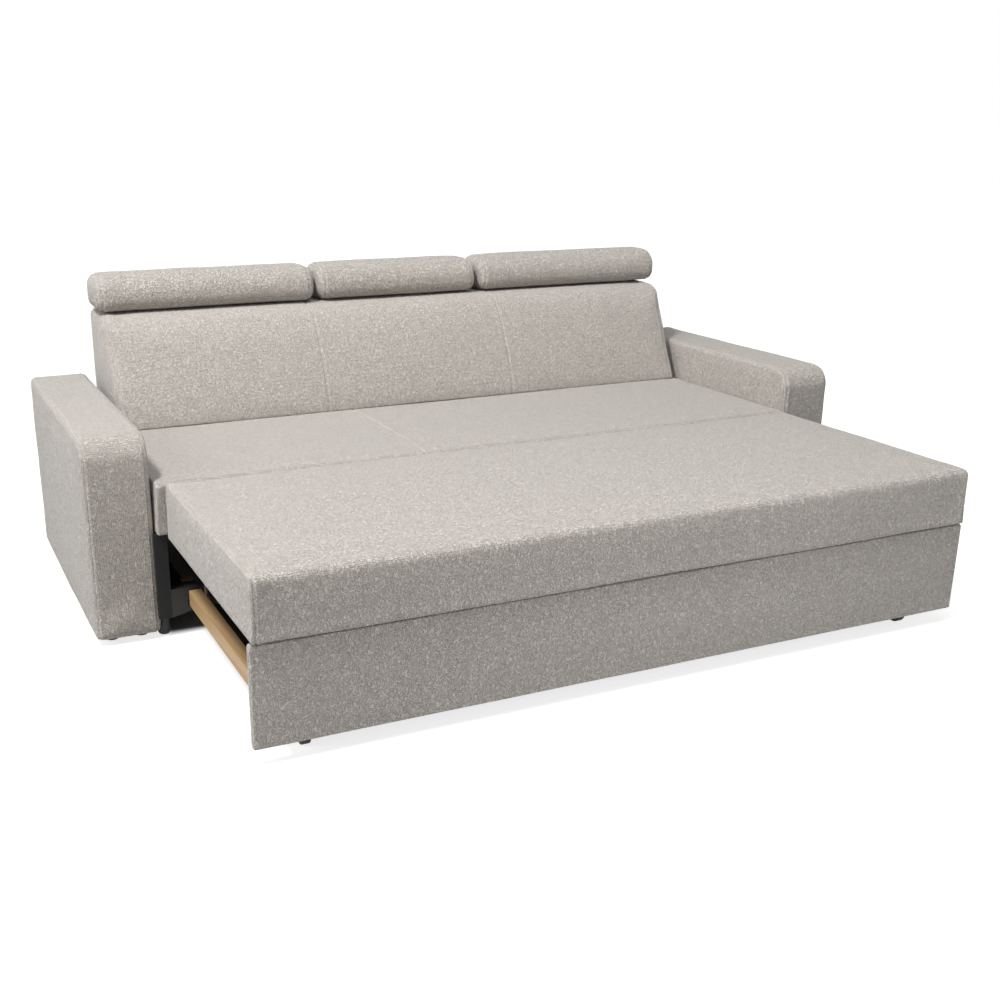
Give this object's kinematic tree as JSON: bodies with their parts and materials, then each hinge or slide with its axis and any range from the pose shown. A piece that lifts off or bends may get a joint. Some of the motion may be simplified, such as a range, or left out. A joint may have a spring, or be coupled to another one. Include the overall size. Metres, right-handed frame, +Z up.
{
  "type": "sofa bed",
  "caption": "Wide sofa bed with slab arms, a leaning backrest with tilting headrests, and a pull-out whose raised mattress lies level with the seat.",
  "frame": {"origin": "on the floor, in the middle of the width and of the depth with the pull-out fully open", "axes": "+X to the right seen from the front, +Y from the pull-out front to the sofa back, +Z up"},
  "size_m": [2.364, 1.7409, 0.8825],
  "materials": {
    "upholstery": "mottled light greige chenille weave with darker flecks",
    "pine": "planed light pine with knots",
    "black_board": "board lined with black non-woven cloth",
    "black_plastic": "black moulded plastic",
    "grey_board": "grey faced board",
    "grey_steel": "grey zinc-plated pressed steel",
    "bright_steel": "bright steel",
    "wheel": "black rubber tread"
  },
  "bodies": {
    "sofa": {"left_arm_frame": "pine", "right_arm_frame": "pine", "left_arm_cover": "upholstery", "right_arm_cover": "upholstery", "arm_glides": "black_plastic", "arm_bolts": "bright_steel", "left_side_board": "black_board", "right_side_board": "black_board", "rear_board": "black_board", "base_feet": "black_plastic", "left_runner": "black_plastic", "right_runner": "black_plastic", "left_guide_block": "black_plastic", "right_guide_block": "black_plastic", "seat_frame": "pine", "seat_springs": "bright_steel", "seat_cushion": "upholstery", "back_posts": "pine", "back_top_rail": "pine", "back_panel": "grey_board", "back_cushion": "upholstery", "back_cover": "upholstery", "hinge_plates": "grey_steel"},
    "pull_out": {"front_board": "pine", "front_cover": "upholstery", "left_rail": "pine", "right_rail": "pine", "front_bearer": "grey_board", "drawer_deck": "black_board", "rear_cross_bar": "black_board", "caster_forks": "black_plastic", "caster_axles": "bright_steel", "strut_rivets": "bright_steel"},
    "front_left_caster": {"front_left_wheel": "wheel"},
    "front_right_caster": {"front_right_wheel": "wheel"},
    "rear_left_caster": {"rear_left_wheel": "wheel"},
    "rear_right_caster": {"rear_right_wheel": "wheel"},
    "left_support": {"left_strut": "grey_steel"},
    "right_support": {"right_strut": "grey_steel"},
    "mattress": {"mattress_frame": "pine", "mattress_slats": "pine", "mattress_cushion": "upholstery"},
    "left_headrest": {"left_headrest_pad": "upholstery", "left_headrest_board": "pine", "left_headrest_hinges": "grey_steel"},
    "middle_headrest": {"middle_headrest_pad": "upholstery", "middle_headrest_board": "pine", "middle_headrest_hinges": "grey_steel"},
    "right_headrest": {"right_headrest_pad": "upholstery", "right_headrest_board": "pine", "right_headrest_hinges": "grey_steel"}
  },
  "joints": [
    {"name": "pull_out_slide", "type": "slide", "parent": "sofa", "child": "pull_out", "axis": [0, 1, 0], "range_m": [0, 0.754]},
    {"name": "mattress_lift", "type": "slide", "parent": "sofa", "child": "mattress", "axis": [0, 0, 1], "range_m": [0, 0.25]},
    {"name": "front_left_wheel_spin", "type": "hinge", "parent": "pull_out", "child": "front_left_caster", "pos_m": [-0.865, -0.7945, 0.025], "axis": [1, 0, 0], "continuous": true},
    {"name": "front_right_wheel_spin", "type": "hinge", "parent": "pull_out", "child": "front_right_caster", "pos_m": [0.865, -0.7945, 0.025], "axis": [1, 0, 0], "continuous": true},
    {"name": "rear_left_wheel_spin", "type": "hinge", "parent": "pull_out", "child": "rear_left_caster", "pos_m": [-0.865, -0.1715, 0.025], "axis": [1, 0, 0], "continuous": true},
    {"name": "rear_right_wheel_spin", "type": "hinge", "parent": "pull_out", "child": "rear_right_caster", "pos_m": [0.865, -0.1715, 0.025], "axis": [1, 0, 0], "continuous": true},
    {"name": "left_support_fold", "type": "hinge", "parent": "pull_out", "child": "left_support", "pos_m": [-0.9047, -0.1255, 0.112], "axis": [1, 0, 0], "range_deg": [0, 90]},
    {"name": "right_support_fold", "type": "hinge", "parent": "pull_out", "child": "right_support", "pos_m": [0.9047, -0.1255, 0.112], "axis": [1, 0, 0], "range_deg": [0, 90]},
    {"name": "left_headrest_tilt", "type": "hinge", "parent": "sofa", "child": "left_headrest", "pos_m": [-0.63925, 0.8485, 0.7675], "axis": [-1, 0, 0], "range_deg": [0, 75]},
    {"name": "middle_headrest_tilt", "type": "hinge", "parent": "sofa", "child": "middle_headrest", "pos_m": [0, 0.8485, 0.7675], "axis": [-1, 0, 0], "range_deg": [0, 75]},
    {"name": "right_headrest_tilt", "type": "hinge", "parent": "sofa", "child": "right_headrest", "pos_m": [0.63925, 0.8485, 0.7675], "axis": [-1, 0, 0], "range_deg": [0, 75]}
  ]
}
